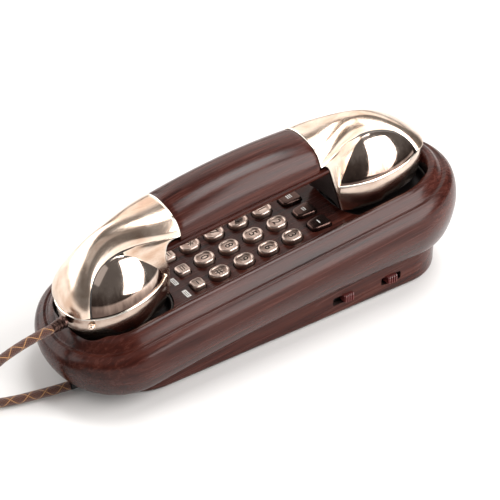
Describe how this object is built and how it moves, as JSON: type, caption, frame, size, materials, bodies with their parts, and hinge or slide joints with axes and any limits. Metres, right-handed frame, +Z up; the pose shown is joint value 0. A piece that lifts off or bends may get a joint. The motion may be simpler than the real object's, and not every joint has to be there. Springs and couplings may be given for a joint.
{
  "type": "slimline wall telephone",
  "caption": "Slim oval telephone with a grip handset lying in two wells over a tilted keypad base, on a wedge foot, with a braided handset cord.",
  "frame": {"origin": "centre of the object's footprint box on the table plane, measured without the free cord", "axes": "+Z up, +X along the length towards the earpiece end, -Y towards the side with the slide switches"},
  "size_m": [0.3174, 0.0748, 0.0872],
  "materials": {
    "wood_plastic": "dark red-brown moulded plastic with a wood grain, semi-gloss",
    "dark_plastic": "near-black plastic, satin",
    "key_metal": "plated antique copper-bronze, raised rim, dark in the engraving",
    "memory_key_metal": "dark bronze-brown plastic, satin",
    "cap_metal": "plated plastic, polished antique nickel with a warm copper tone",
    "steel": "plain steel",
    "circuit_board": "green board",
    "brass": "plain brass disc",
    "rubber": "black rubber",
    "knob_plastic": "dark red plastic",
    "braided_cord": "braided brown textile with a gold strand"
  },
  "bodies": {
    "base": {"base_upper_shell": "wood_plastic", "base_lower_shell": "wood_plastic", "mouth_well": "dark_plastic", "ear_well": "dark_plastic", "hook_switch": "dark_plastic", "keypad_mat": "rubber", "keypad_board": "circuit_board", "main_board": "circuit_board", "ringer": "brass", "slide_switch_1": "dark_plastic", "slide_switch_2": "dark_plastic", "line_jack": "dark_plastic", "base_cord_gland": "rubber", "rubber_foot_1": "rubber", "rubber_foot_2": "rubber", "rubber_foot_3": "rubber", "rubber_foot_4": "rubber", "base_screw_1": "steel", "base_screw_2": "steel", "base_screw_3": "steel", "base_screw_4": "steel", "cord_handset_run": "braided_cord", "cord_base_run": "braided_cord", "cord_coil": "braided_cord"},
    "handset": {"grip_upper_shell": "wood_plastic", "grip_lower_shell": "wood_plastic", "mouth_cap": "cap_metal", "ear_cap": "cap_metal", "mouth_cover": "dark_plastic", "ear_cover": "dark_plastic", "microphone": "steel", "receiver": "steel", "handset_weight": "steel", "grip_screw_1": "steel", "grip_screw_2": "steel", "handset_cord_relief": "cap_metal"},
    "hook_plunger": {"hook_plunger": "dark_plastic"},
    "slide_knob_1": {"slide_knob_1": "knob_plastic"},
    "slide_knob_2": {"slide_knob_2": "knob_plastic"},
    "key_hash": {"key_hash": "key_metal"},
    "key_9": {"key_9": "key_metal"},
    "key_6": {"key_6": "key_metal"},
    "key_3": {"key_3": "key_metal"},
    "key_0": {"key_0": "key_metal"},
    "key_8": {"key_8": "key_metal"},
    "key_5": {"key_5": "key_metal"},
    "key_2": {"key_2": "key_metal"},
    "key_star": {"key_star": "key_metal"},
    "key_7": {"key_7": "key_metal"},
    "key_4": {"key_4": "key_metal"},
    "key_1": {"key_1": "key_metal"},
    "key_redial": {"key_redial": "key_metal"},
    "key_flash": {"key_flash": "key_metal"},
    "key_mute": {"key_mute": "key_metal"},
    "key_memory_1": {"key_memory_1": "memory_key_metal"},
    "key_memory_2": {"key_memory_2": "memory_key_metal"},
    "key_memory_3": {"key_memory_3": "memory_key_metal"}
  },
  "joints": [
    {"name": "handset_lift", "type": "slide", "parent": "base", "child": "handset", "axis": [-0.0965, 0, 0.9953], "range_m": [0, 0.12]},
    {"name": "hook_slide", "type": "slide", "parent": "base", "child": "hook_plunger", "axis": [-0.0965, 0, 0.9953], "range_m": [0, 0.0036]},
    {"name": "slide_switch_1_travel", "type": "slide", "parent": "base", "child": "slide_knob_1", "axis": [1, 0, 0], "range_m": [-0.0053, 0]},
    {"name": "slide_switch_2_travel", "type": "slide", "parent": "base", "child": "slide_knob_2", "axis": [1, 0, 0], "range_m": [-0.0026, 0.0026]},
    {"name": "key_hash_press", "type": "slide", "parent": "base", "child": "key_hash", "axis": [-0.0965, 0, 0.9953], "range_m": [-0.0015, 0], "stiffness_N_per_m": 400, "springref_m": 0.0005},
    {"name": "key_9_press", "type": "slide", "parent": "base", "child": "key_9", "axis": [-0.0965, 0, 0.9953], "range_m": [-0.0015, 0], "stiffness_N_per_m": 400, "springref_m": 0.0005},
    {"name": "key_6_press", "type": "slide", "parent": "base", "child": "key_6", "axis": [-0.0965, 0, 0.9953], "range_m": [-0.0015, 0], "stiffness_N_per_m": 400, "springref_m": 0.0005},
    {"name": "key_3_press", "type": "slide", "parent": "base", "child": "key_3", "axis": [-0.0965, 0, 0.9953], "range_m": [-0.0015, 0], "stiffness_N_per_m": 400, "springref_m": 0.0005},
    {"name": "key_0_press", "type": "slide", "parent": "base", "child": "key_0", "axis": [-0.0965, 0, 0.9953], "range_m": [-0.0015, 0], "stiffness_N_per_m": 400, "springref_m": 0.0005},
    {"name": "key_8_press", "type": "slide", "parent": "base", "child": "key_8", "axis": [-0.0965, 0, 0.9953], "range_m": [-0.0015, 0], "stiffness_N_per_m": 400, "springref_m": 0.0005},
    {"name": "key_5_press", "type": "slide", "parent": "base", "child": "key_5", "axis": [-0.0965, 0, 0.9953], "range_m": [-0.0015, 0], "stiffness_N_per_m": 400, "springref_m": 0.0005},
    {"name": "key_2_press", "type": "slide", "parent": "base", "child": "key_2", "axis": [-0.0965, 0, 0.9953], "range_m": [-0.0015, 0], "stiffness_N_per_m": 400, "springref_m": 0.0005},
    {"name": "key_star_press", "type": "slide", "parent": "base", "child": "key_star", "axis": [-0.0965, 0, 0.9953], "range_m": [-0.0015, 0], "stiffness_N_per_m": 400, "springref_m": 0.0005},
    {"name": "key_7_press", "type": "slide", "parent": "base", "child": "key_7", "axis": [-0.0965, 0, 0.9953], "range_m": [-0.0015, 0], "stiffness_N_per_m": 400, "springref_m": 0.0005},
    {"name": "key_4_press", "type": "slide", "parent": "base", "child": "key_4", "axis": [-0.0965, 0, 0.9953], "range_m": [-0.0015, 0], "stiffness_N_per_m": 400, "springref_m": 0.0005},
    {"name": "key_1_press", "type": "slide", "parent": "base", "child": "key_1", "axis": [-0.0965, 0, 0.9953], "range_m": [-0.0015, 0], "stiffness_N_per_m": 400, "springref_m": 0.0005},
    {"name": "key_redial_press", "type": "slide", "parent": "base", "child": "key_redial", "axis": [-0.0965, 0, 0.9953], "range_m": [-0.0015, 0], "stiffness_N_per_m": 400, "springref_m": 0.0005},
    {"name": "key_flash_press", "type": "slide", "parent": "base", "child": "key_flash", "axis": [-0.0965, 0, 0.9953], "range_m": [-0.0015, 0], "stiffness_N_per_m": 400, "springref_m": 0.0005},
    {"name": "key_mute_press", "type": "slide", "parent": "base", "child": "key_mute", "axis": [-0.0965, 0, 0.9953], "range_m": [-0.0015, 0], "stiffness_N_per_m": 400, "springref_m": 0.0005},
    {"name": "key_memory_1_press", "type": "slide", "parent": "base", "child": "key_memory_1", "axis": [-0.0965, 0, 0.9953], "range_m": [-0.0015, 0], "stiffness_N_per_m": 400, "springref_m": 0.0005},
    {"name": "key_memory_2_press", "type": "slide", "parent": "base", "child": "key_memory_2", "axis": [-0.0965, 0, 0.9953], "range_m": [-0.0015, 0], "stiffness_N_per_m": 400, "springref_m": 0.0005},
    {"name": "key_memory_3_press", "type": "slide", "parent": "base", "child": "key_memory_3", "axis": [-0.0965, 0, 0.9953], "range_m": [-0.0015, 0], "stiffness_N_per_m": 400, "springref_m": 0.0005}
  ],
  "couplings": [
    {"joint": "hook_slide", "follows": "handset_lift", "ratio": 0.03}
  ]
}
